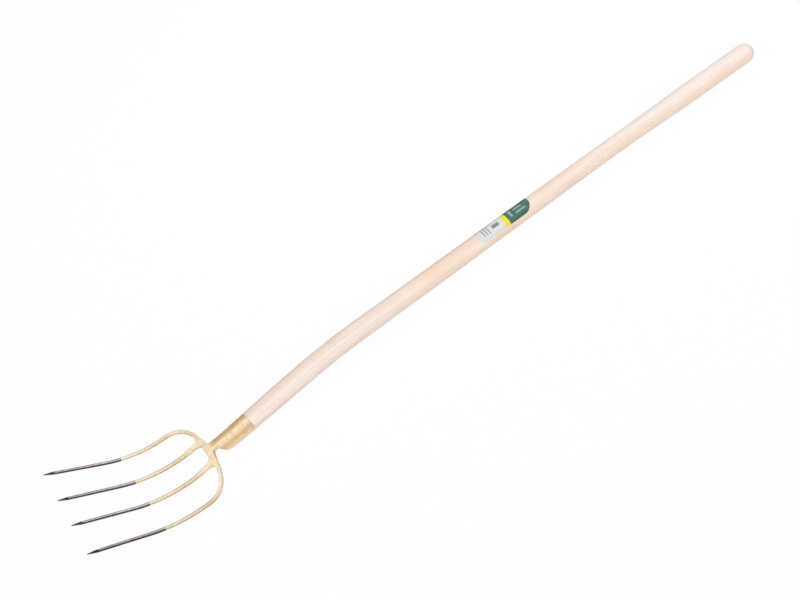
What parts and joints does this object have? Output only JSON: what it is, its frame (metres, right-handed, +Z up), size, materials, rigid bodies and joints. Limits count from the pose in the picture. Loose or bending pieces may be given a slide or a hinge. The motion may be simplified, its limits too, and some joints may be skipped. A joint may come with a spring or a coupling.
{
  "type": "manure fork",
  "caption": "Manure fork with curved, half lacquered steel tines on a rounded bow, a rolled socket and a long bent wooden handle.",
  "frame": {"origin": "on the floor under the middle of the fork's box, as it lies face up", "axes": "+X along the fork from the tines to the grip, +Y to the right of a person who holds it, +Z up, out of the hollow face of the tines"},
  "size_m": [1.6521, 0.2476, 0.1141],
  "materials": {
    "ash_wood": "sanded pale ash, satin",
    "gold_lacquer": "clear gold lacquer over forged steel",
    "bare_steel": "bare oiled steel with forging marks",
    "screw_steel": "zinc plated",
    "label_film": "printed film in green, yellow and pale grey"
  },
  "bodies": {
    "root": {"handle": "ash_wood", "socket": "gold_lacquer", "bridge": "gold_lacquer", "outer_tine_right": "gold_lacquer", "inner_tine_right": "gold_lacquer", "inner_tine_left": "gold_lacquer", "outer_tine_left": "gold_lacquer", "outer_point_right": "bare_steel", "inner_point_right": "bare_steel", "inner_point_left": "bare_steel", "outer_point_left": "bare_steel", "socket_screw": "screw_steel", "label": "label_film"}
  },
  "joints": []
}
